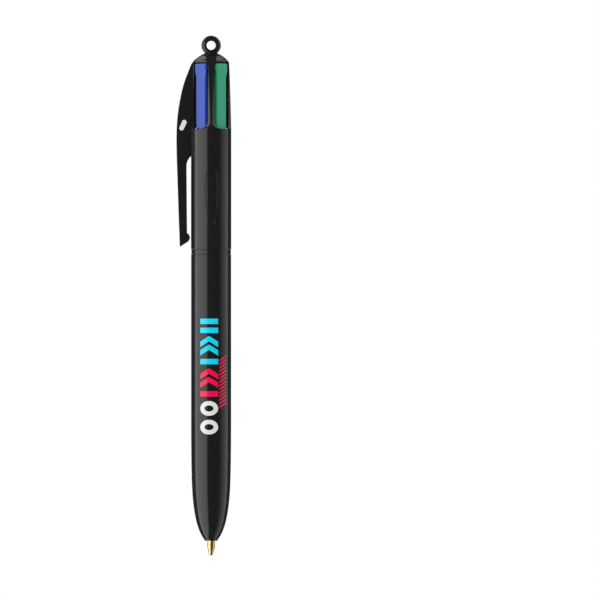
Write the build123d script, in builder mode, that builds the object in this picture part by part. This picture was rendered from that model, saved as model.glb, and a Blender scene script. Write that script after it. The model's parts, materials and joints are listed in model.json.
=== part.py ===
from build123d import *
import math
import os

# A four-colour retractable ball pen, point down, lanyard ring up.
# Millimetres. The origin is the centre of the lanyard ring's bore, +Z is up,
# and the pocket clip is on the -Y side. Heights below the ring are negative.

os.makedirs("parts", exist_ok=True)

# ---------------------------------------------------------------- whole pen
upper_length = 56.75        # ring bore centre down to the upper body's lower edge
band_height = 1.4           # visible band between the halves
barrel_length = 79.8        # lower barrel, mouth to nose end
tip_reach = 4.1             # how far an extended point stands out of the nose
travel = 9.5                # stroke of every slider
body_wall = 0.85            # wall of the upper body's tube

# ---------------------------------------------------------------- clearances
running_gap = 0.05          # turning and sliding fits
face_gap = 0.02             # ring and barrel, face to face
slider_gap = 0.15           # slider to guide webs
window_gap = 0.33           # thumb lug to the side of its window
window_top_gap = 0.2        # raised slider to the top of its window
tube_gap = 0.08             # refill tube to its bore in the guide
coil_gap = 0.13             # refill tube to its spring
collar_lap = 0.01           # the collar covers this much more than the spring
collar_gap = 0.194          # between neighbouring sliders' collars
bend_gap = 0.09             # extended tube to the raised tubes beside it
exit_gap = 0.25             # brass point to the nose's exit hole
latch_gap = 0.1             # pressed tooth to the rim over it
rim_gap = 0.2               # latch rim to a passing tooth
skirt_end_gap = 0.1

# ---------------------------------------------------------------- ink refill
tube_radius = 1.2
tube_wall = 0.4
tip_step = 0.15             # the brass point is this much slimmer than the tube
tip_length = 12.0           # brass ahead of the tube
tip_cone = 2.35             # height of the cone over the ball's end
tip_lip_radius = 0.56
flange_height = 0.6
shank_length = 4.0
ball_radius = 0.5
ball_gap = 0.02
ball_show = 0.33            # how much of the ball stands out of its socket
channel_radius = 0.25
ink_column = 62.0
flex_drop = 6.0             # below the guide: where an extended refill bends
flex_radius = 250.0

# ---------------------------------------------------------------- sliders
slider_half_width = 2.04
slider_bevel = 0.36
slider_inner = 1.5          # inner flat of a slider, from the pen's axis
lug_side = 0.38             # the lug is this much wider on each side
lug_rise = 0.3
lug_length = 3.7
lug_bevel = 0.55
lug_hollow = 11.0           # radius of the hollows under the lug
lug_lap = 0.02              # the hollows run out this far inside the blade
blade_length = 20.6
leg_length = 1.9            # between the blade and the collar
collar_length = 1.6
peg_length = 4.5            # peg that the tube is pushed onto
tooth_rise = 0.27           # latch tooth over the slider's outer face
tooth_height = 1.2
tooth_half_width = 1.0
rim_height = 0.9            # latch rim in the body's bore

# ---------------------------------------------------------------- springs, guide
spring_length = 17.0        # with the slider raised
spring_wire = 0.26
spring_turns = 9
guide_wall = 0.52           # from a refill's bore to the thread's root
thread_depth = 0.3
spigot_step = 0.25          # the spigot is this much slimmer than the guide
guide_spigot_length = 9.3   # below the upper body's edge
land_height = 2.6           # plain land under the thread

# ---------------------------------------------------------------- head
head_taper = 0.56           # the head is this much slimmer at its top
facet_depth = 1.45          # the flats lie this far inside the tube's surface
facet_runout = 2.2          # radius of the hollow at the lower end of a flat
facet_past = 0.15           # the flats end this far under the windows
bore_past = 1.0             # the bore's top is this far over the flats' ends
window_top = -4.75
window_length = 18.6
window_corner = 2.2         # lower corners of a window
web_thickness = 1.2         # webs behind the ribs
web_inner_radius = 2.3
web_outer_gap = 0.2         # the webs end this far inside the head's surface
web_lap = 0.5               # the webs run this far into the tube and the dome
cross_height = 3.0          # under the dome the webs meet in a cross
shoulder_height = -4.65     # where the dome meets the head's side
dome_rise = 2.45
neck_radius = 1.72
hip_drop = 0.5              # inclined facet starts this far over the window
hip_run = 1.75              # how far the inclined facet leans in
hip_top = -2.0

ring_bore_radius = 1.25
ring_outer_radius = 2.72
ring_width = 3.5
ring_round = 1.1            # outer rounding of the ring's section
ring_mouth = 0.3            # rounding at the mouths of the ring's bore

# ---------------------------------------------------------------- clip
clip_reach = 4.06           # outermost face over the tube's surface
clip_top_width = 1.5
clip_end_width = 3.2
clip_gap = 1.25             # space between the clip and the tube
clip_bead_gap = 0.3         # space under the clip's bead
clip_end = -56.1            # tip of the free end
clip_web_end = -33.5        # where the strip leaves the tube

# ---------------------------------------------------------------- raised badge
badge_rise = 0.12           # over the tube's surface
badge_lap = 0.3             # sunk into the tube's wall
badge_line = 0.4            # breadth of every raised line
badge_width = 4.0
badge_length = 11.6
badge_height = -40.4        # middle of the pill
badge_rib_pitch = 1.6
badge_rib_length = 1.7
badge_rib_count = 5
badge_ring_radius = 1.3
badge_ring_height = -49.2

# ---------------------------------------------------------------- lower barrel
barrel_step = 0.03          # the barrel is this much slimmer than the body
ring_step = 0.06            # and the joint ring than the barrel
mouth_wall = 0.6
skirt_depth = 2.2           # joint ring's skirt in the barrel's mouth
exit_length = 1.25
exit_wall = 0.53            # flat end of the nose round its exit hole
nose_length = 33.9
nose_wall = 0.95

# ---------------------------------------------------------------- worked out
tube_bore = tube_radius - tube_wall
tip_radius = tube_radius - tip_step
spring_radius = tube_radius + coil_gap + spring_wire / 2
collar_radius = spring_radius + spring_wire / 2 + collar_lap
exit_radius = tip_radius + exit_gap
nose_end_radius = exit_radius + exit_wall

upper_bottom = -upper_length
barrel_top = upper_bottom - band_height
nose_end = barrel_top - barrel_length
window_bottom = window_top - window_length
runout_bottom = window_bottom - facet_past
bore_top = runout_bottom + bore_past
slider_top = window_top - window_top_gap
blade_bottom = slider_top - blade_length
collar_top = blade_bottom - leg_length
seat_height = collar_top - collar_length
guide_top = seat_height - spring_length
guide_bottom = upper_bottom - guide_spigot_length
tooth_top = blade_bottom + tooth_height
aim_height = nose_end - tip_reach / 2
flex_point = guide_bottom - flex_drop

# Neighbouring collars set how far the refills stand from the axis, or else the
# extended tube does, which passes between the ends of the raised ones.
raised_tube_end = nose_end - tip_reach + travel + tip_length
bend_share = (raised_tube_end - aim_height) / (flex_point - aim_height)
collar_circle = (2 * collar_radius + collar_gap) / math.sqrt(2)
bend_circle = (2 * tube_radius + bend_gap) / math.hypot(1, bend_share)
refill_circle = max(collar_circle, bend_circle)
tilt = math.atan2(refill_circle, flex_point - aim_height)

thread_root_radius = refill_circle + tube_radius + tube_gap + guide_wall
spigot_radius = thread_root_radius + thread_depth
body_bore = spigot_radius + spigot_step
body_radius = body_bore + body_wall
barrel_radius = body_radius - barrel_step
barrel_bore = spigot_radius + running_gap
head_radius = body_radius - head_taper
facet_offset = body_radius - facet_depth
tooth_radius = facet_offset + tooth_rise
corner_radius = math.hypot(facet_offset, slider_half_width - slider_bevel)
rim_radius = max(tooth_radius + rim_gap, corner_radius + running_gap)
web_limit = (web_thickness / 2 + slider_gap) * math.sqrt(2)
lug_half_width = slider_half_width + lug_side
window_width = 2 * (lug_half_width + window_gap)
ink_level = nose_end - tip_reach + travel + tip_length + shank_length + ink_column

quarters = {"blue": -45, "green": 45, "black": 135, "red": 225}
pressed = "black"


def outward_plane(angle):
    """Plane that looks out along a slider's own direction, its Y up."""
    turn = math.radians(angle)
    return Plane(
        origin=(0, 0, 0),
        x_dir=(-math.sin(turn), math.cos(turn), 0),
        z_dir=(math.cos(turn), math.sin(turn), 0),
    )


def side_plane(angle):
    """Upright plane through the pen's axis, its X out along the direction."""
    turn = math.radians(angle)
    return Plane(
        origin=(0, 0, 0),
        x_dir=(math.cos(turn), math.sin(turn), 0),
        z_dir=(math.sin(turn), -math.cos(turn), 0),
    )


def section_plane(angle, height):
    """Level plane whose X points out along a slider's direction."""
    turn = math.radians(angle)
    return Plane(
        origin=(0, 0, height),
        x_dir=(math.cos(turn), math.sin(turn), 0),
        z_dir=(0, 0, 1),
    )


# ================================================================ clip
# A fin that flows out of the dome, stays on the tube as far as its web's end
# and runs down as a free strip with a bead.
clip_outer = body_radius + clip_reach
clip_inner = body_radius + clip_gap
fin_root = head_radius - 0.15
clip_root = body_radius - 0.3

with BuildPart() as clip:
    with BuildSketch(Plane.YZ):
        with BuildLine():
            Spline(
                (-2.6, -3.05),
                (-(body_radius - 0.55), -4.5),
                (-(clip_outer - 3.43), -6.9),
                (-(clip_outer - 2.19), -10.2),
                (-(clip_outer - 0.97), -15.2),
                (-(clip_outer - 0.25), -20.2),
                (-clip_outer, -26.9),
                (-(clip_outer - 0.21), -35.3),
                (-(clip_outer - 0.65), -48.6),
                (-(clip_outer - 0.93), clip_end),
            )
            Line((-(clip_outer - 0.93), clip_end), (-(clip_outer - 3.1), clip_end + 1.35))
            Spline(
                (-(clip_outer - 3.1), clip_end + 1.35),
                (-(body_radius + clip_bead_gap), clip_end + 2.6),
                (-(clip_inner - 0.15), clip_end + 3.9),
            )
            Line((-(clip_inner - 0.15), clip_end + 3.9), (-clip_inner, clip_web_end))
            Spline(
                (-clip_inner, clip_web_end),
                (-(body_radius + 0.65), clip_web_end + 1.9),
                (-clip_root, clip_web_end + 2.9),
            )
            Line((-clip_root, clip_web_end + 2.9), (-clip_root, window_bottom))
            Line((-clip_root, window_bottom), (-fin_root, window_bottom + 4.2))
            Line((-fin_root, window_bottom + 4.2), (-fin_root, window_top + 0.3))
            Line((-fin_root, window_top + 0.3), (-2.6, window_top + 0.3))
            Line((-2.6, window_top + 0.3), (-2.6, -3.05))
        make_face()
    extrude(amount=clip_end_width, both=True)
    with BuildSketch(Plane.XZ):
        with BuildLine():
            Polyline(
                (-clip_top_width / 2, 0),
                (clip_top_width / 2, 0),
                (clip_end_width / 2, clip_end),
                (-clip_end_width / 2, clip_end),
                close=True,
            )
        make_face()
    extrude(amount=clip_outer * 2, both=True, mode=Mode.INTERSECT)

# ================================================================ badge
# Raised lines on the +X side: a pill round five ribs, and a small ring under it.
with BuildPart() as badge:
    with BuildSketch(Plane.YZ):
        with Locations((0, badge_height)):
            SlotOverall(badge_length, badge_width, rotation=90)
            SlotOverall(
                badge_length - 2 * badge_line,
                badge_width - 2 * badge_line,
                rotation=90,
                mode=Mode.SUBTRACT,
            )
            with GridLocations(0, badge_rib_pitch, 1, badge_rib_count):
                SlotOverall(badge_rib_length, badge_line)
        with Locations((0, badge_ring_height)):
            Circle(badge_ring_radius)
            Circle(badge_ring_radius - badge_line, mode=Mode.SUBTRACT)
    extrude(amount=body_radius * 2)
    with BuildSketch(Plane.XY.offset(upper_bottom)):
        Circle(body_radius + badge_rise)
        Circle(body_radius - badge_lap, mode=Mode.SUBTRACT)
    extrude(amount=upper_length, mode=Mode.INTERSECT)

# ================================================================ upper body
# One moulding: tube, head with four windows, dome, lanyard ring, clip and badge.
with BuildPart() as upper_body:
    with BuildSketch(Plane.XZ):
        with BuildLine():
            Line((0, upper_bottom), (body_radius, upper_bottom))
            Line((body_radius, upper_bottom), (body_radius, window_bottom))
            ThreePointArc(
                (body_radius, window_bottom),
                (body_radius - head_taper * 0.44, window_bottom + window_length * 0.53),
                (head_radius, shoulder_height - 0.4),
            )
            Line((head_radius, shoulder_height - 0.4), (head_radius - 0.12, shoulder_height))
            ThreePointArc(
                (head_radius - 0.12, shoulder_height),
                (head_radius * 0.72, shoulder_height + dome_rise * 0.56),
                (neck_radius, shoulder_height + dome_rise),
            )
            Line((neck_radius, shoulder_height + dome_rise), (neck_radius, -ring_bore_radius))
            Line((neck_radius, -ring_bore_radius), (0, -ring_bore_radius))
            Line((0, -ring_bore_radius), (0, upper_bottom))
        make_face()
    revolve(axis=Axis.Z)

    # Four flats beside the windows, hollowed out at their lower ends and
    # leaning in over the dome at their upper ends.
    hollow_top = runout_bottom + facet_runout
    hip_start = window_top + hip_drop
    far = body_radius * 1.6
    for angle in quarters.values():
        with BuildSketch(side_plane(angle)):
            with BuildLine():
                Line((facet_offset, hollow_top), (facet_offset, hip_start))
                Line((facet_offset, hip_start), (facet_offset - hip_run, hip_top))
                Line((facet_offset - hip_run, hip_top), (far, hip_top))
                Line((far, hip_top), (far, runout_bottom))
                Line((far, runout_bottom), (facet_offset + facet_runout, runout_bottom))
                RadiusArc(
                    (facet_offset + facet_runout, runout_bottom),
                    (facet_offset, hollow_top),
                    facet_runout,
                )
            make_face()
        extrude(amount=body_radius, both=True, mode=Mode.SUBTRACT)

    # The windows, and the bore below them with its latch rim.
    for angle in quarters.values():
        with BuildSketch(outward_plane(angle)) as window:
            with Locations((0, (window_top + window_bottom) / 2)):
                Rectangle(window_width, window_length)
            corners = window.vertices().group_by(Axis.Y)
            fillet(corners[0], radius=window_corner)
        extrude(amount=far, mode=Mode.SUBTRACT)
    with BuildSketch(Plane.XY.offset(upper_bottom)):
        Circle(body_bore)
    extrude(amount=bore_top - upper_bottom, mode=Mode.SUBTRACT)
    with BuildSketch(Plane.XY.offset(tooth_top - travel + latch_gap)):
        Circle(body_bore + 0.2)
        Circle(rim_radius, mode=Mode.SUBTRACT)
    extrude(amount=rim_height)

    # Webs behind the ribs keep the sliders apart.
    web_outer_radius = head_radius - web_outer_gap
    for angle in quarters.values():
        with BuildSketch(section_plane(angle + 45, bore_top - web_lap)):
            with Locations(((web_inner_radius + web_outer_radius) / 2, 0)):
                Rectangle(web_outer_radius - web_inner_radius, web_thickness)
        extrude(amount=window_top - bore_top + 2 * web_lap)
    with BuildSketch(Plane.XY.offset(window_top - cross_height)):
        Rectangle(2 * web_inner_radius + 2 * web_lap, web_thickness)
        Rectangle(web_thickness, 2 * web_inner_radius + 2 * web_lap)
    extrude(amount=cross_height + web_lap)

    add(clip.part)
    add(badge.part)

    # Lanyard ring: a short round-edged tube lying across the pen.
    with BuildSketch(Plane.XZ) as ring_section:
        with Locations((0, (ring_outer_radius + ring_bore_radius - 0.5) / 2)):
            Rectangle(ring_width, ring_outer_radius - ring_bore_radius + 0.5)
        fillet(ring_section.vertices().group_by(Axis.Y)[-1], radius=ring_round)
    revolve(axis=Axis.X)
    with BuildSketch(Plane.XZ) as bore_section:
        with BuildLine():
            half = ring_width / 2
            Line((-half - 1, 0), (-half - 1, ring_bore_radius + ring_mouth))
            Line((-half - 1, ring_bore_radius + ring_mouth), (-half, ring_bore_radius + ring_mouth))
            RadiusArc(
                (-half, ring_bore_radius + ring_mouth),
                (-half + ring_mouth, ring_bore_radius),
                -ring_mouth,
            )
            Line((-half + ring_mouth, ring_bore_radius), (half - ring_mouth, ring_bore_radius))
            RadiusArc(
                (half - ring_mouth, ring_bore_radius),
                (half, ring_bore_radius + ring_mouth),
                -ring_mouth,
            )
            Line((half, ring_bore_radius + ring_mouth), (half + 1, ring_bore_radius + ring_mouth))
            Line((half + 1, ring_bore_radius + ring_mouth), (half + 1, 0))
            Line((half + 1, 0), (-half - 1, 0))
        make_face()
    revolve(axis=Axis.X, mode=Mode.SUBTRACT)
upper_body.part.label = "upper_body"
export_step(upper_body.part, "parts/upper_body.step")

# ================================================================ spring guide
# Sleeve pressed into the body's bore, with the spigot that the barrel screws on.
with BuildPart() as spring_guide:
    with BuildSketch(Plane.XY.offset(guide_bottom)):
        Circle(spigot_radius)
    extrude(amount=upper_bottom - guide_bottom)
    with BuildSketch(Plane.XY.offset(upper_bottom)):
        Circle(body_bore)
    extrude(amount=guide_top - upper_bottom)
    with BuildSketch(Plane.XY.offset(guide_bottom + land_height)):
        Circle(spigot_radius + 1)
        Circle(thread_root_radius, mode=Mode.SUBTRACT)
    extrude(amount=barrel_top - skirt_depth - guide_bottom - land_height, mode=Mode.SUBTRACT)
    for angle in quarters.values():
        with BuildSketch(section_plane(angle, guide_bottom)):
            with Locations((refill_circle, 0)):
                Circle(tube_radius + tube_gap)
        extrude(amount=guide_top - guide_bottom, mode=Mode.SUBTRACT)
spring_guide.part.label = "spring_guide"
export_step(spring_guide.part, "parts/spring_guide.step")

# ================================================================ joint ring
# Clipped into the barrel's mouth; it slides on the spigot without turning.
ring_inner = spigot_radius + running_gap
skirt_radius = barrel_radius - mouth_wall - running_gap
with BuildPart() as joint_ring:
    with BuildSketch(Plane.XY.offset(barrel_top)):
        Circle(barrel_radius - ring_step)
        Circle(ring_inner, mode=Mode.SUBTRACT)
    extrude(amount=band_height - face_gap)
    with BuildSketch(Plane.XY.offset(barrel_top)):
        Circle(skirt_radius)
        Circle(ring_inner, mode=Mode.SUBTRACT)
    extrude(amount=-(skirt_depth - skirt_end_gap))
joint_ring.part.label = "joint_ring"
export_step(joint_ring.part, "parts/joint_ring.step")

# ================================================================ lower barrel
exit_top = nose_end + exit_length
bore_end = nose_end + nose_length
with BuildPart() as lower_barrel:
    with BuildSketch(Plane.XZ):
        with BuildLine():
            mouth_radius = barrel_radius - mouth_wall
            Line((barrel_bore, barrel_top - skirt_depth), (mouth_radius, barrel_top - skirt_depth))
            Line((mouth_radius, barrel_top - skirt_depth), (mouth_radius, barrel_top - face_gap))
            Line((mouth_radius, barrel_top - face_gap), (barrel_radius, barrel_top - face_gap))
            Line((barrel_radius, barrel_top - face_gap), (barrel_radius, bore_end))
            Spline(
                (barrel_radius, bore_end),
                (barrel_radius - 0.11, nose_end + 19.6),
                (barrel_radius - 0.51, nose_end + 11.35),
                (barrel_radius - 1.23, nose_end + 6.4),
                (barrel_radius - 2.24, nose_end + 2.95),
                (nose_end_radius + 0.15, nose_end + 0.5),
                tangents=((0, -1), (-0.55, -0.62)),
            )
            Line((nose_end_radius + 0.15, nose_end + 0.5), (nose_end_radius, nose_end))
            Line((nose_end_radius, nose_end), (exit_radius, nose_end))
            Line((exit_radius, nose_end), (exit_radius, exit_top))
            Spline(
                (exit_radius, exit_top),
                (barrel_radius - 1.47 - nose_wall, nose_end + 5.35),
                (barrel_radius - 0.97 - nose_wall, nose_end + 7.9),
                (barrel_radius - 0.45 - nose_wall, nose_end + 12.8),
                (barrel_bore, bore_end - 8),
                tangents=((0.42, 1), (0, 1)),
            )
            Line((barrel_bore, bore_end - 8), (barrel_bore, barrel_top - skirt_depth))
        make_face()
    revolve(axis=Axis.Z)
lower_barrel.part.label = "lower_barrel"
export_step(lower_barrel.part, "parts/lower_barrel.step")

# ================================================================ one set per colour
for colour, angle in quarters.items():
    drop = travel if colour == pressed else 0
    turn = math.radians(angle)
    out = Vector(math.cos(turn), math.sin(turn), 0)
    axis_point = out * refill_circle
    seat = seat_height - drop

    # ------------------------------------------------------------ slider
    # Thumb lug: the common part of its side, front and plan outlines.
    lug_top = slider_top - drop
    lug_bottom = lug_top - lug_length
    lug_face = facet_offset + lug_rise
    lug_back = lug_half_width + web_limit
    with BuildPart() as lug:
        with BuildSketch(side_plane(angle)):
            with BuildLine():
                Line((lug_back, lug_top), (lug_face - lug_bevel, lug_top))
                Line((lug_face - lug_bevel, lug_top), (lug_face, lug_top - lug_bevel * 1.5))
                RadiusArc((lug_face, lug_top - lug_bevel * 1.5), (facet_offset - lug_lap, lug_bottom), -lug_hollow)
                Line((facet_offset - lug_lap, lug_bottom), (lug_back, lug_bottom))
                Line((lug_back, lug_bottom), (lug_back, lug_top))
            make_face()
        extrude(amount=lug_half_width, both=True)
        with BuildSketch(outward_plane(angle)):
            with BuildLine():
                shoulder = lug_top - lug_bevel * 1.5
                Line((lug_bevel - lug_half_width, lug_top), (lug_half_width - lug_bevel, lug_top))
                Line((lug_half_width - lug_bevel, lug_top), (lug_half_width, shoulder))
                RadiusArc((lug_half_width, shoulder), (slider_half_width - lug_lap, lug_bottom), -lug_hollow)
                Line((slider_half_width - lug_lap, lug_bottom), (lug_lap - slider_half_width, lug_bottom))
                RadiusArc((lug_lap - slider_half_width, lug_bottom), (-lug_half_width, shoulder), -lug_hollow)
                Line((-lug_half_width, shoulder), (lug_bevel - lug_half_width, lug_top))
            make_face()
        extrude(amount=body_radius * 2, mode=Mode.INTERSECT)
        with BuildSketch(section_plane(angle, lug_bottom)):
            with BuildLine():
                Polyline(
                    (lug_back, -lug_half_width),
                    (lug_face - lug_bevel, -lug_half_width),
                    (lug_face, lug_bevel - lug_half_width),
                    (lug_face, lug_half_width - lug_bevel),
                    (lug_face - lug_bevel, lug_half_width),
                    (lug_back, lug_half_width),
                    close=True,
                )
            make_face()
        extrude(amount=lug_length, mode=Mode.INTERSECT)

    # Blade, latch tooth, collar for the spring and peg for the ink tube.
    with BuildPart() as slider:
        with BuildSketch(section_plane(angle, blade_bottom - drop)):
            with BuildLine():
                inner_half = slider_inner - web_limit
                Polyline(
                    (slider_inner, -inner_half),
                    (slider_half_width + web_limit, -slider_half_width),
                    (facet_offset - slider_bevel, -slider_half_width),
                    (facet_offset, slider_bevel - slider_half_width),
                    (facet_offset, slider_half_width - slider_bevel),
                    (facet_offset - slider_bevel, slider_half_width),
                    (slider_half_width + web_limit, slider_half_width),
                    (slider_inner, inner_half),
                    close=True,
                )
            make_face()
        extrude(amount=blade_length - lug_bevel)
        with BuildSketch(section_plane(angle, lug_top - lug_bevel - 0.1)):
            with Locations(((slider_inner + lug_back) / 2 + 0.1, 0)):
                Rectangle(lug_back - slider_inner + 0.2, inner_half * 2)
        extrude(amount=lug_bevel + 0.1)
        add(lug.part)
        with BuildSketch(section_plane(angle, tooth_top - drop)):
            with Locations((facet_offset + (tooth_rise - 1) / 2, 0)):
                Rectangle(tooth_rise + 1, tooth_half_width * 2)
        extrude(amount=-tooth_height)
        with BuildSketch(section_plane(angle, blade_bottom - drop)):
            with Locations((refill_circle, 0)):
                Circle(collar_radius - 0.3)
        extrude(amount=-leg_length)
        with BuildSketch(section_plane(angle, collar_top - drop)):
            with Locations((refill_circle, 0)):
                Circle(collar_radius)
        extrude(amount=-collar_length)
        with BuildSketch(section_plane(angle, seat)):
            with Locations((refill_circle, 0)):
                Circle(tube_bore)
        extrude(amount=-peg_length)
    slider.part.label = "slider_" + colour
    export_step(slider.part, "parts/slider_" + colour + ".step")

    # ------------------------------------------------------------ return spring
    spring_bottom = guide_top + spring_wire / 2
    spring_height = seat - guide_top - spring_wire
    with BuildPart() as spring:
        with BuildLine() as coil:
            Helix(
                pitch=spring_height / spring_turns,
                height=spring_height,
                radius=spring_radius,
                center=(axis_point.X, axis_point.Y, spring_bottom),
            )
        with BuildSketch(Plane(origin=coil.line @ 0, z_dir=coil.line % 0)):
            Circle(spring_wire / 2)
        sweep()
    spring.part.label = "spring_" + colour
    export_step(spring.part, "parts/spring_" + colour + ".step")

    # ------------------------------------------------------------ ink refill
    # A raised refill is straight. The extended one bends where it leaves the
    # guide, so that its point is in the middle of the nose.
    lean = tilt if drop else 0
    axis = out * math.sin(lean) + Vector(0, 0, math.cos(lean))
    corner = axis_point + Vector(0, 0, flex_point)
    tip_end = nose_end - tip_reach + travel - drop
    ball_end = corner - axis * ((flex_point - tip_end) / math.cos(lean))
    tube_end = ball_end + axis * tip_length
    ink_end = tube_end + axis * shank_length
    tube_start = axis_point + Vector(0, 0, seat)
    ink_start = axis_point + Vector(0, 0, ink_level - drop)

    for name, start, end, inner, outer in (
        ("tube_", tube_start, tube_end, tube_bore, tube_radius),
        ("ink_", ink_start, ink_end, 0, tube_bore),
    ):
        with BuildPart() as sleeve:
            with BuildLine() as middle:
                if drop:
                    FilletPolyline(start, corner, end, radius=flex_radius)
                else:
                    Line(start, end)
            with BuildSketch(Plane(origin=middle.line @ 0, z_dir=middle.line % 0)):
                Circle(outer)
                if inner:
                    Circle(inner, mode=Mode.SUBTRACT)
            sweep()
        sleeve.part.label = name + colour
        export_step(sleeve.part, "parts/" + name + colour + ".step")

    # Brass point: socket, cone, land and the shank inside the tube.
    with BuildPart() as tip:
        with BuildSketch(Plane(origin=ball_end, x_dir=axis.cross(out).cross(axis), z_dir=out.cross(axis))):
            with BuildLine():
                socket = ball_radius + ball_gap
                lip = math.sqrt(socket**2 - (ball_radius - ball_show) ** 2)
                channel_start = ball_radius + math.sqrt(socket**2 - channel_radius**2)
                shank_top = tip_length + shank_length
                ThreePointArc((lip, ball_show), (socket, ball_radius), (channel_radius, channel_start))
                Polyline(
                    (channel_radius, channel_start),
                    (channel_radius, shank_top),
                    (tube_bore, shank_top),
                    (tube_bore, tip_length),
                    (tube_radius, tip_length),
                    (tube_radius, tip_length - flange_height),
                    (tip_radius, tip_length - flange_height - 0.15),
                    (tip_radius, tip_cone),
                    (tip_lip_radius, ball_show),
                    (lip, ball_show),
                )
            make_face()
        revolve(axis=Axis(ball_end, axis))
    tip.part.label = "tip_" + colour
    export_step(tip.part, "parts/tip_" + colour + ".step")

    with BuildPart() as ball:
        with Locations(ball_end + axis * ball_radius):
            Sphere(ball_radius)
    ball.part.label = "ball_" + colour
    export_step(ball.part, "parts/ball_" + colour + ".step")
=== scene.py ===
import bmesh
import bpy
import json
import math
from mathutils import Matrix, Vector
from mathutils.bvhtree import BVHTree
from mathutils.geometry import barycentric_transform


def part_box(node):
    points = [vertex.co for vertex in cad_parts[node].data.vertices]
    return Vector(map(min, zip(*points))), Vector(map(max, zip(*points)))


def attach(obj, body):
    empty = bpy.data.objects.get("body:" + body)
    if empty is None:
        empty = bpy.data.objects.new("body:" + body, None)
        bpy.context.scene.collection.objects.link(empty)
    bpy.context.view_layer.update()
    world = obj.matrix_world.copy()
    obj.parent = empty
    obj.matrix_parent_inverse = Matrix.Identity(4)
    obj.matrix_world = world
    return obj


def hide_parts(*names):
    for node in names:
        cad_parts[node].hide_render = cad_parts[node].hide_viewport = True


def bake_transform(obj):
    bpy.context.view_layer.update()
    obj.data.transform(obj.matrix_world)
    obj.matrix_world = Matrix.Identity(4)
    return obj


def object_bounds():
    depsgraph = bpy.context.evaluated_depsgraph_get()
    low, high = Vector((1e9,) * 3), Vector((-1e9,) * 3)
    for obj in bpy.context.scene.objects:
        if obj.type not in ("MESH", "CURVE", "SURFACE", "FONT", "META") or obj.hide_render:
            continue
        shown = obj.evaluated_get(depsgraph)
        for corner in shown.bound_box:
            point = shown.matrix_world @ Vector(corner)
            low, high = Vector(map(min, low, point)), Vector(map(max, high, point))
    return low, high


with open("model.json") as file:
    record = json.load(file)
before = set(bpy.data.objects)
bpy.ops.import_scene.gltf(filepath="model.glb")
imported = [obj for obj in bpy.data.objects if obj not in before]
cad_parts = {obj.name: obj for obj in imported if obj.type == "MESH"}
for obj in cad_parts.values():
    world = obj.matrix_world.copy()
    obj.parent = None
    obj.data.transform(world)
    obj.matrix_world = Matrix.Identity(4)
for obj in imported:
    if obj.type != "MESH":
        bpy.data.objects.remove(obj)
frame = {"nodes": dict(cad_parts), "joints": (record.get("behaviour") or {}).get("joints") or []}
cad_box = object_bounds()

# ================================================================ studio
# The pen hangs point down in front of a white sweep. Two tall soft cards beside
# it draw the long highlights on the casing; two small ones light the dome.
view_height = 0.1671
camera_distance = 0.5
camera_side = 0.02475
camera_drop = 0.07362

camera = bpy.data.objects.new("camera", bpy.data.cameras.new("camera"))
camera.data.type = "ORTHO"
camera.data.ortho_scale = view_height
camera.data.clip_start = 0.01
camera.data.clip_end = 10
camera.location = (camera_distance, camera_side, cad_box[1].z - camera_drop)
camera.rotation_euler = (math.radians(90), 0, math.radians(90))
bpy.context.scene.collection.objects.link(camera)
bpy.context.scene.camera = camera
bpy.context.scene.view_settings.view_transform = "Standard"

# Seen directly the room is white; in reflections it is nearly black.
room = bpy.data.worlds.new("room")
bpy.context.scene.world = room
room.use_nodes = True
room.node_tree.nodes.clear()
ray = room.node_tree.nodes.new("ShaderNodeLightPath")
room_end = room.node_tree.nodes.new("ShaderNodeOutputWorld")


def room_light(colour, strength):
    """One of the room's lights."""
    light = room.node_tree.nodes.new("ShaderNodeBackground")
    light.inputs["Color"].default_value = (*colour, 1)
    light.inputs["Strength"].default_value = strength
    return light


def room_choice(kind, otherwise, chosen):
    """Lights the rays of one kind with the chosen light, and others with the other."""
    choice = room.node_tree.nodes.new("ShaderNodeMixShader")
    room.node_tree.links.new(ray.outputs[kind], choice.inputs[0])
    room.node_tree.links.new(otherwise.outputs[0], choice.inputs[1])
    room.node_tree.links.new(chosen.outputs[0], choice.inputs[2])
    return choice


reflected = room_light((0.8, 0.9, 1.0), 0.06)
filling = room_light((1.0, 1.0, 1.0), 0.85)
seen = room_light((1.0, 1.0, 1.0), 1.0)
lit = room_choice("Is Diffuse Ray", reflected, filling)
whole = room_choice("Is Camera Ray", lit, seen)
room.node_tree.links.new(whole.outputs[0], room_end.inputs["Surface"])


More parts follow.
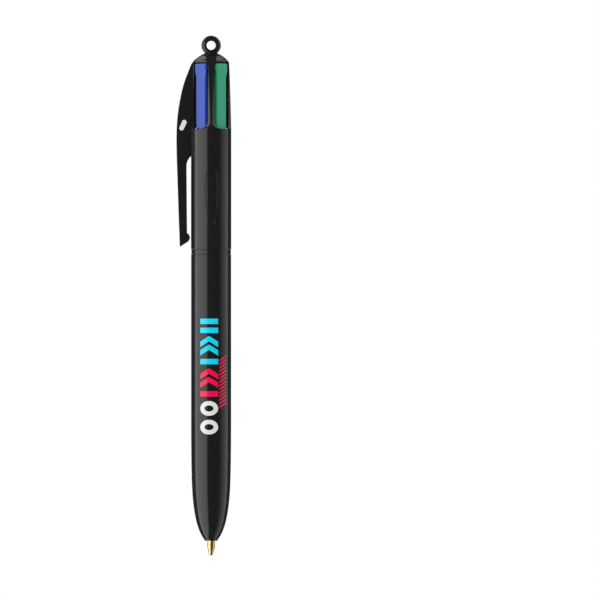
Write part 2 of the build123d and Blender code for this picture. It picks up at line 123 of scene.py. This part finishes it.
def light_card(name, side, front, back, low, high, first, last):
    """An upright glowing card whose brightness runs from its front edge to its back edge."""
    bm = bmesh.new()
    bm.loops.layers.uv.new("across")
    bmesh.ops.create_grid(bm, x_segments=1, y_segments=1, size=0.5, calc_uvs=True)
    bmesh.ops.scale(bm, verts=bm.verts, vec=(back - front, high - low, 1))
    bmesh.ops.rotate(bm, verts=bm.verts, matrix=Matrix.Rotation(math.radians(90), 3, "X"))
    bmesh.ops.translate(bm, verts=bm.verts, vec=((front + back) / 2, side, (low + high) / 2))
    mesh = bpy.data.meshes.new(name)
    bm.to_mesh(mesh)
    bm.free()
    card = bpy.data.objects.new(name, mesh)
    bpy.context.scene.collection.objects.link(card)
    card.visible_camera = False
    card.visible_shadow = False
    glow = bpy.data.materials.new(name)
    glow.use_nodes = True
    nodes, links = glow.node_tree.nodes, glow.node_tree.links
    nodes.clear()
    place = nodes.new("ShaderNodeUVMap")
    place.uv_map = "across"
    split = nodes.new("ShaderNodeSeparateXYZ")
    fade = nodes.new("ShaderNodeMapRange")
    fade.inputs["To Min"].default_value = first
    fade.inputs["To Max"].default_value = last
    lamp = nodes.new("ShaderNodeEmission")
    end = nodes.new("ShaderNodeOutputMaterial")
    links.new(place.outputs["UV"], split.inputs[0])
    links.new(split.outputs["X"], fade.inputs["Value"])
    links.new(fade.outputs["Result"], lamp.inputs["Strength"])
    links.new(lamp.outputs[0], end.inputs["Surface"])
    mesh.materials.append(glow)


card_side = 0.5
card_low = -1.1
card_high = 0.28
dome_front = 0.0
dome_back = -0.6
dome_high = 0.88
light_card("key_card", -card_side, 1.2, -0.145, card_low, card_high, 1.3, 2.25)
light_card("fill_card", card_side, 0.45, -0.20, card_low, card_high, 0.0, 1.45)
light_card("left_dome_card", -card_side, dome_front, dome_back, card_high, dome_high, 1.8, 1.8)
light_card("right_dome_card", card_side, dome_front, dome_back, card_high, dome_high, 1.1, 1.1)

floor_half = 3
floor_gap = 0.008
floor_mesh = bpy.data.meshes.new("floor")
bm = bmesh.new()
bmesh.ops.create_grid(bm, x_segments=1, y_segments=1, size=floor_half)
bmesh.ops.translate(bm, verts=bm.verts, vec=(0, 0, cad_box[0].z - floor_gap))
bm.to_mesh(floor_mesh)
bm.free()
floor = bpy.data.objects.new("floor", floor_mesh)
bpy.context.scene.collection.objects.link(floor)
floor.visible_glossy = False
pale_paint = bpy.data.materials.new("pale_paint")
pale_paint.use_nodes = True
paint_shader = pale_paint.node_tree.nodes["Principled BSDF"]
paint_shader.inputs["Base Color"].default_value = (0.82, 0.82, 0.81, 1)
paint_shader.inputs["Roughness"].default_value = 0.7
floor_mesh.materials.append(pale_paint)

# ================================================================ upper body
# One moulding in glossy black plastic: tube, head with its four windows, dome,
# lanyard ring, pocket clip and badge. Its edges are slightly rounded by the mould.
mm = 0.001
merge_distance = 0.001 * mm
shortest_side = 0.02 * mm
touching = 0.003 * mm
crease_angle = math.radians(34)
tone_range = (0.9, 1.1)
gloss_range = (0.8, 1.25)


def moulded_plastic(name, colour, roughness, peel=0.02):
    """Glossy moulded plastic: faint flow variation in colour and gloss, and a fine peel."""
    plastic = bpy.data.materials.new(name)
    plastic.use_nodes = True
    nodes, links = plastic.node_tree.nodes, plastic.node_tree.links
    shader = nodes["Principled BSDF"]
    shader.inputs["IOR"].default_value = 1.5
    place = nodes.new("ShaderNodeTexCoord")
    flow = nodes.new("ShaderNodeTexNoise")
    flow.inputs["Scale"].default_value = 90
    flow.inputs["Detail"].default_value = 4
    tone = nodes.new("ShaderNodeMix")
    tone.data_type = "RGBA"
    tone.inputs["A"].default_value = (*[tone_range[0] * c for c in colour], 1)
    tone.inputs["B"].default_value = (*[min(1, tone_range[1] * c) for c in colour], 1)
    gloss = nodes.new("ShaderNodeMapRange")
    gloss.inputs["To Min"].default_value = roughness * gloss_range[0]
    gloss.inputs["To Max"].default_value = roughness * gloss_range[1]
    grain = nodes.new("ShaderNodeTexNoise")
    grain.inputs["Scale"].default_value = 1400
    bump = nodes.new("ShaderNodeBump")
    bump.inputs["Strength"].default_value = peel
    bump.inputs["Distance"].default_value = 0.00002
    links.new(place.outputs["Object"], flow.inputs["Vector"])
    links.new(place.outputs["Object"], grain.inputs["Vector"])
    links.new(flow.outputs["Fac"], tone.inputs["Factor"])
    links.new(tone.outputs["Result"], shader.inputs["Base Color"])
    links.new(flow.outputs["Fac"], gloss.inputs["Value"])
    links.new(gloss.outputs["Result"], shader.inputs["Roughness"])
    links.new(grain.outputs["Fac"], bump.inputs["Height"])
    links.new(bump.outputs["Normal"], shader.inputs["Normal"])
    return plastic


def merged_copy(node, flatness=0.2):
    """A copy of a CAD node's surface with its loose triangles joined up, flat faces whole."""
    bm = bmesh.new()
    bm.from_mesh(frame["nodes"][node].data)
    bmesh.ops.remove_doubles(bm, verts=bm.verts, dist=merge_distance)
    bmesh.ops.dissolve_degenerate(bm, dist=shortest_side, edges=bm.edges)
    bmesh.ops.dissolve_limit(bm, angle_limit=math.radians(flatness), verts=bm.verts, edges=bm.edges)
    return bm


def round_edges(bm, width, least_angle=32, keep=None):
    """Rounds the sharp outer edges, all of them or the ones that keep() allows."""
    sharp = [edge for edge in bm.edges if edge.is_manifold]
    sharp = [edge for edge in sharp if edge.calc_face_angle_signed() > math.radians(least_angle)]
    if keep:
        sharp = [edge for edge in sharp if keep(edge)]
    bmesh.ops.bevel(
        bm,
        geom=sharp,
        offset=width,
        offset_type="OFFSET",
        segments=2,
        profile=0.5,
        affect="EDGES",
        clamp_overlap=False,
        material=-1,
    )


def finished(name, bm, material, body=None, nodes=()):
    """Makes the object from its mesh, smooth but for its creases, hangs it on its body if it has one,
    and hides the CAD nodes it stands for.
    """
    mesh = bpy.data.meshes.new(name)
    bm.to_mesh(mesh)
    bm.free()
    mesh.polygons.foreach_set("use_smooth", [True] * len(mesh.polygons))
    mesh.set_sharp_from_angle(angle=crease_angle)
    mesh.materials.append(material)
    piece = bpy.data.objects.new(name, mesh)
    bpy.context.scene.collection.objects.link(piece)
    if body:
        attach(piece, body)
    if nodes:
        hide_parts(*nodes)
    return piece


def true_normals(piece, node):
    """Gives each corner the CAD surface's own normal, so rounded edges run smoothly into it."""
    mesh, cad = piece.data, frame["nodes"][node].data
    shading = [tuple(corner.vector) for corner in cad.corner_normals]
    spots = [v.co for v in cad.vertices]
    tree = BVHTree.FromPolygons(spots, [tuple(face.vertices) for face in cad.polygons])
    normals = [mesh.vertices[loop.vertex_index].normal.copy() for loop in mesh.loops]
    for face in mesh.polygons:
        for loop in face.loop_indices:
            corner = mesh.vertices[mesh.loops[loop].vertex_index].co
            near = tree.find_nearest_range(corner, touching)
            if near:
                spot, _, index, _ = max(near, key=lambda found: found[1].dot(face.normal))
                triangle = cad.polygons[index]
                corners = [spots[v] for v in triangle.vertices]
                leaning = [Vector(shading[k]) for k in triangle.loop_indices]
                normal = barycentric_transform(spot, *corners, *leaning)
                if normal.dot(face.normal) > 0.5 * normal.length > 0:
                    normals[loop] = normal.normalized()
    mesh.normals_split_custom_set(normals)


black_plastic = moulded_plastic("black_plastic", (0.0122, 0.0122, 0.0126), 0.13)
casing_round = 0.12 * mm
clip_root_low = -6.2 * mm
clip_root_side = -4.3 * mm
clip_root_half = 1.6 * mm
shortest_edge = 0.05 * mm


def clear_of_clip_root(edge):
    """Leaves alone the tiny edges, and those where the clip runs into the dome."""
    spot = (edge.verts[0].co + edge.verts[1].co) / 2
    at_root = spot.z > clip_root_low and spot.y < clip_root_side and abs(spot.x) < clip_root_half
    return edge.calc_length() > shortest_edge and not at_root


casing = merged_copy("upper_body")
round_edges(casing, casing_round, keep=clear_of_clip_root)
casing_shell = finished("casing", casing, black_plastic, "root", ["upper_body"])
true_normals(casing_shell, "upper_body")

# ================================================================ clip mark
# A plain white lozenge printed on the clip's side: a thin film of ink that
# follows the strip's slight taper.
mark_side = -7.84 * mm
mark_height = -22.2 * mm
mark_length = 3.1 * mm
mark_width = 1.3 * mm
mark_lean = math.radians(-24)
ink_thickness = 0.015 * mm
clip_half_width = 0.75 * mm
clip_taper = 0.85 / 56.1


def printing_ink(name, colour):
    """Glossy printing ink, a little uneven in tone like any printed film."""
    return moulded_plastic(name, colour, 0.16, 0.05)


white_ink = printing_ink("white_ink", (0.86, 0.86, 0.86))
mark = bmesh.new()
bmesh.ops.create_circle(mark, cap_ends=True, segments=32, radius=mark_width / 2)
for v in mark.verts:
    v.co.y += math.copysign((mark_length - mark_width) / 2, v.co.y)
bmesh.ops.rotate(mark, verts=mark.verts, matrix=Matrix.Rotation(mark_lean, 3, "Z"))
bmesh.ops.solidify(mark, geom=mark.faces, thickness=ink_thickness)
for v in mark.verts:
    side, up, out = v.co
    height = mark_height + up
    v.co = (clip_half_width - clip_taper * height + ink_thickness / 2 + out, mark_side + side, height)
bmesh.ops.recalc_face_normals(mark, faces=mark.faces)
finished("clip_mark", mark, white_ink, "root")

# ================================================================ joint ring
# The band between the two halves, of the same black plastic, a hair slimmer
# than the tubes so that a fine seam shows on both sides of it.
mouth_round = 0.1 * mm
band = merged_copy("joint_ring")
round_edges(band, mouth_round)
ring_band = finished("joint_band", band, black_plastic, "joint_ring", ["joint_ring"])
true_normals(ring_band, "joint_ring")

# ================================================================ lower barrel
# Long glossy black tube that tapers to the nose, moulded in one, with a crisp
# mouth and a small flat round the exit hole.
barrel = merged_copy("lower_barrel")
round_edges(barrel, mouth_round)
barrel_tube = finished("barrel", barrel, black_plastic, "lower_barrel", ["lower_barrel"])
true_normals(barrel_tube, "lower_barrel")

# ================================================================ barrel print
# Bold bars, arrowheads and rings in cyan, red and white run down the barrel, with
# a row of slanted red dashes beside them, all screen printed on the curved wall.
barrel_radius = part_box("lower_barrel")[1].x
print_middle = -0.6 * mm
print_half = 2.58 * mm
cut_step = 0.4 * mm
first_cut = -12
last_cut = 15


def printed(name, shapes, material):
    """Flat outlines, each a list of (across, up), laid round the barrel as thin ink."""
    bm = bmesh.new()
    for outline in shapes:
        bm.faces.new([bm.verts.new((across, up, 0)) for across, up in outline])
    for step in range(first_cut, last_cut + 1):
        bmesh.ops.bisect_plane(
            bm,
            geom=bm.verts[:] + bm.edges[:] + bm.faces[:],
            plane_co=(step * cut_step, 0, 0),
            plane_no=(1, 0, 0),
        )
    bmesh.ops.recalc_face_normals(bm, faces=bm.faces)
    bmesh.ops.solidify(bm, geom=bm.faces, thickness=ink_thickness)
    for v in bm.verts:
        across, up, out = v.co
        turn = across / barrel_radius
        reach = barrel_radius + ink_thickness + out
        v.co = (reach * math.cos(turn), reach * math.sin(turn), up)
    bmesh.ops.recalc_face_normals(bm, faces=bm.faces)
    finished(name, bm, material, "lower_barrel")


ring_half_height = 2.05 * mm
hole_half_width = 1.3 * mm
hole_half_height = 0.85 * mm
arc_steps = 24


def arc(height, width, rise, first, last):
    """Points along part of an oval about a height, between two angles in degrees."""
    step = (last - first) / arc_steps
    angles = [math.radians(first + step * k) for k in range(arc_steps + 1)]
    return [(print_middle + width * math.cos(t), height + rise * math.sin(t)) for t in angles]


def half_rings(height):
    """A bold ring, as its upper and its lower half."""
    outer = (print_half, ring_half_height)
    inner = (hole_half_width, hole_half_height)
    upper = arc(height, *outer, 0, 180) + arc(height, *inner, 180, 0)
    lower = arc(height, *outer, 180, 360) + arc(height, *inner, 360, 180)
    return [upper, lower]


left = print_middle - print_half
right = print_middle + print_half
print_stroke = 1.5 * mm
chevron_drop = 1.6 * mm


def bar(height):
    """A level bar right across the print."""
    foot = height - print_stroke
    return [(left, height), (right, height), (right, foot), (left, foot)]


def chevron(height):
    """A level arrowhead, its point higher than its feet by the drop."""
    foot = height - print_stroke
    return [
        (left, height - chevron_drop),
        (print_middle, height),
        (right, height - chevron_drop),
        (right, foot - chevron_drop),
        (print_middle, foot),
        (left, foot - chevron_drop),
    ]


cyan_shapes = [bar(-76.1 * mm), bar(-78.6 * mm)]
cyan_shapes += [chevron(-80.9 * mm), chevron(-83.3 * mm), bar(-87.3 * mm)]
red_shapes = [chevron(-89.9 * mm), chevron(-92.3 * mm), bar(-96.3 * mm)]
white_shapes = half_rings(-101.1 * mm) + half_rings(-106.3 * mm)
dash_left = 2.3 * mm
dash_right = 4.6 * mm
dash_lean = 1.3 * mm
dash_breadth = 0.42 * mm
dash_top = -87.6 * mm
dash_pitch = 1.0 * mm
dash_count = 14
dashes = []
for count in range(dash_count):
    start = dash_top - count * dash_pitch
    end = start + dash_lean
    dashes.append(
        [
            (dash_left, start),
            (dash_right, end),
            (dash_right, end - dash_breadth),
            (dash_left, start - dash_breadth),
        ]
    )
printed("print_cyan", cyan_shapes, printing_ink("cyan_ink", (0.0, 0.72, 1.0)))
red_ink = printing_ink("red_ink", (1.0, 0.0, 0.075))
printed("print_red", red_shapes, red_ink)
printed("print_dashes", dashes, red_ink)
printed("print_white", white_shapes, white_ink)

# ================================================================ sliders
# Four moulded thumb slides, one in the colour of each ink, with a bevelled lug
# on top, a long flat blade and a collar and peg for the refill.
slider_colours = {
    "blue": (0.001, 0.047, 0.42),
    "green": (0.006, 0.34, 0.165),
    "black": (0.012, 0.012, 0.013),
    "red": (0.72, 0.004, 0.009),
}
slider_round = 0.07 * mm
slider_flatness = 2
for colour, tone in slider_colours.items():
    slide = merged_copy("slider_" + colour, slider_flatness)
    round_edges(slide, slider_round)
    plastic = moulded_plastic(colour + "_plastic", tone, 0.2)
    body = "slider_" + colour
    thumb_slide = finished("slide_" + colour, slide, plastic, body, [body])
    flat_faces = thumb_slide.modifiers.new("flat_faces", "WEIGHTED_NORMAL")
    flat_faces.keep_sharp = True
    flat_faces.weight = 80

# ================================================================ spring guide
# Waxy white acetal sleeve, pressed into the body, with four refill bores and a
# turned-down spigot that carries the screw thread for the barrel.
acetal = moulded_plastic("acetal", (0.62, 0.61, 0.57), 0.42, 0.3)
guide_round = 0.08 * mm
guide = merged_copy("spring_guide")
round_edges(guide, guide_round)
sleeve = finished("guide_sleeve", guide, acetal, "root", ["spring_guide"])
true_normals(sleeve, "spring_guide")

guide_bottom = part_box("spring_guide")[0].z
thread_root = 4.15 * mm
thread_crest = 4.49 * mm
thread_pitch = 1.5 * mm
thread_start = guide_bottom + 2.75 * mm
root_half = 0.45 * mm
crest_half = 0.16 * mm
thread_turns = 1.75
ridge = bmesh.new()
profile = [
    ridge.verts.new((thread_root, 0, thread_start - root_half)),
    ridge.verts.new((thread_crest, 0, thread_start - crest_half)),
    ridge.verts.new((thread_crest, 0, thread_start + crest_half)),
    ridge.verts.new((thread_root, 0, thread_start + root_half)),
]
ridge_end = ridge.faces.new(profile)
thread_steps = 110
bmesh.ops.spin(
    ridge,
    geom=[ridge_end, *ridge_end.edges, *ridge_end.verts],
    cent=(0, 0, 0),
    axis=(0, 0, 1),
    dvec=(0, 0, thread_pitch * thread_turns / thread_steps),
    angle=2 * math.pi * thread_turns,
    steps=thread_steps,
)
bmesh.ops.recalc_face_normals(ridge, faces=ridge.faces)
finished("guide_thread", ridge, acetal, "root")

# ================================================================ return springs
# Four coils of drawn steel wire round the refill tubes, closed at both ends.
# They stand on the guide.


def varied_gloss(name, colour, scale, least, most):
    """A material whose roughness wanders between two values, and its shader."""
    material = bpy.data.materials.new(name)
    material.use_nodes = True
    nodes, links = material.node_tree.nodes, material.node_tree.links
    shader = nodes["Principled BSDF"]
    shader.inputs["Base Color"].default_value = (*colour, 1)
    place = nodes.new("ShaderNodeTexCoord")
    patches = nodes.new("ShaderNodeTexNoise")
    patches.inputs["Scale"].default_value = scale
    gloss = nodes.new("ShaderNodeMapRange")
    gloss.inputs["To Min"].default_value = least
    gloss.inputs["To Max"].default_value = most
    links.new(place.outputs["Object"], patches.inputs["Vector"])
    links.new(patches.outputs["Fac"], gloss.inputs["Value"])
    links.new(gloss.outputs["Result"], shader.inputs["Roughness"])
    return material, shader


spring_steel, steel_shader = varied_gloss("spring_steel", (0.56, 0.56, 0.57), 2500, 0.2, 0.36)
steel_shader.inputs["Metallic"].default_value = 1

wire_radius = 0.13 * mm
closed_turns = 1.2
coil_turns = 9
coil_steps = 20
coil_sides = 10
closed_gap = 2.05
for colour in slider_colours:
    node = "spring_" + colour
    low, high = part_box(node)
    middle = (low + high) / 2
    coil_radius = (high.x - low.x) / 2 - wire_radius
    closed_rise = closed_turns * wire_radius * closed_gap
    open_rise = high.z - low.z - 2 * closed_rise - 2 * wire_radius
    coil = bmesh.new()
    bmesh.ops.create_circle(coil, cap_ends=True, segments=coil_sides, radius=wire_radius)
    bmesh.ops.rotate(coil, verts=coil.verts, matrix=Matrix.Rotation(math.radians(90), 3, "X"))
    wire_start = (middle.x + coil_radius, middle.y, low.z + wire_radius)
    bmesh.ops.translate(coil, verts=coil.verts, vec=wire_start)
    leading = coil.faces[:] + coil.edges[:] + coil.verts[:]
    closed_run = (closed_turns, closed_rise)
    open_run = (coil_turns - 2 * closed_turns, open_rise)
    for turns, rise in (closed_run, open_run, closed_run):
        steps = round(turns * coil_steps)
        grown = bmesh.ops.spin(
            coil,
            geom=leading,
            cent=(middle.x, middle.y, 0),
            axis=(0, 0, 1),
            dvec=(0, 0, rise / steps),
            angle=2 * math.pi * turns,
            steps=steps,
        )
        leading = grown["geom_last"]
    bmesh.ops.recalc_face_normals(coil, faces=coil.faces)
    piece = finished("coil_" + colour, coil, spring_steel, None, [node])
    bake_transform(piece)

# ================================================================ refills
# Clear tubes filled with ink, pushed onto the sliders' pegs. Each copy gets extra rows
# round its flex joint below the guide, where a refill bends when its point is led to the middle of
# the nose.
bend_half = 8 * mm
meniscus = 0.012 * mm
row_count = 9


def bending_copy(node, bend_height):
    """A copy of a tube or ink column with enough rows to bend smoothly."""
    bm = merged_copy(node)
    for row in range(row_count):
        height = bend_height + bend_half * (2 * row / (row_count - 1) - 1)
        bmesh.ops.bisect_plane(
            bm,
            geom=bm.verts[:] + bm.edges[:] + bm.faces[:],
            plane_co=(0, 0, height),
            plane_no=(0, 0, 1),
        )
    return bm


clear_plastic, clear_shader = varied_gloss("clear_plastic", (0.93, 0.94, 0.93), 300, 0.02, 0.12)
clear_shader.inputs["Transmission Weight"].default_value = 1
clear_shader.inputs["IOR"].default_value = 1.49

ink_colours = {
    "blue": (0.004, 0.012, 0.16),
    "green": (0.003, 0.09, 0.04),
    "black": (0.004, 0.004, 0.005),
    "red": (0.32, 0.004, 0.006),
}
for colour, tone in ink_colours.items():
    pivot = next(joint["pos_m"] for joint in frame["joints"] if joint["name"] == "flex_" + colour)
    ink = moulded_plastic(colour + "_refill_ink", tone, 0.3, 0.1)
    for node, name, material, slot in (
        ("tube_" + colour, "refill_tube_" + colour, clear_plastic, "tube_plastic"),
        ("ink_" + colour, "ink_column_" + colour, ink, colour + "_ink"),
    ):
        column = bending_copy(node, pivot[2])
        if material is ink:
            for v in column.verts:
                v.co -= v.normal * meniscus
        piece = finished(name, column, material, None, [node])
        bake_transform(piece)

# ================================================================ points
# Turned brass points with a land, a long cone and a rolled lip round a carbide
# ball. The lathe leaves fine rings that show in the gloss.
brass = bpy.data.materials.new("brass")
brass.use_nodes = True
nodes, links = brass.node_tree.nodes, brass.node_tree.links
shader = nodes["Principled BSDF"]
shader.inputs["Metallic"].default_value = 1
place = nodes.new("ShaderNodeTexCoord")
split = nodes.new("ShaderNodeSeparateXYZ")
turning = nodes.new("ShaderNodeTexNoise")
turning.noise_dimensions = "1D"
turning.inputs["Scale"].default_value = 9000
tarnish = nodes.new("ShaderNodeTexNoise")
tarnish.inputs["Scale"].default_value = 700
tone = nodes.new("ShaderNodeMix")
tone.data_type = "RGBA"
tone.inputs["A"].default_value = (0.70, 0.53, 0.20, 1)
tone.inputs["B"].default_value = (0.84, 0.69, 0.36, 1)
gloss = nodes.new("ShaderNodeMapRange")
gloss.inputs["To Min"].default_value = 0.26
gloss.inputs["To Max"].default_value = 0.42
bump = nodes.new("ShaderNodeBump")
bump.inputs["Strength"].default_value = 0.25
bump.inputs["Distance"].default_value = 0.00001
links.new(place.outputs["Object"], split.inputs[0])
links.new(split.outputs["Z"], turning.inputs["W"])
links.new(place.outputs["Object"], tarnish.inputs["Vector"])
links.new(tarnish.outputs["Fac"], tone.inputs["Factor"])
links.new(tone.outputs["Result"], shader.inputs["Base Color"])
links.new(turning.outputs["Fac"], gloss.inputs["Value"])
links.new(gloss.outputs["Result"], shader.inputs["Roughness"])
links.new(turning.outputs["Fac"], bump.inputs["Height"])
links.new(bump.outputs["Normal"], shader.inputs["Normal"])

carbide, carbide_shader = varied_gloss("carbide", (0.42, 0.40, 0.37), 5000, 0.12, 0.26)
carbide_shader.inputs["Metallic"].default_value = 1

tip_round = 0.04 * mm
tip_least_angle = 20
for colour in slider_colours:
    point = merged_copy("tip_" + colour)
    round_edges(point, tip_round, tip_least_angle)
    finished("point_" + colour, point, brass, "refill_" + colour, ["tip_" + colour])
    ball = frame["nodes"]["ball_" + colour]
    ball.data.materials.clear()
    ball.data.materials.append(carbide)
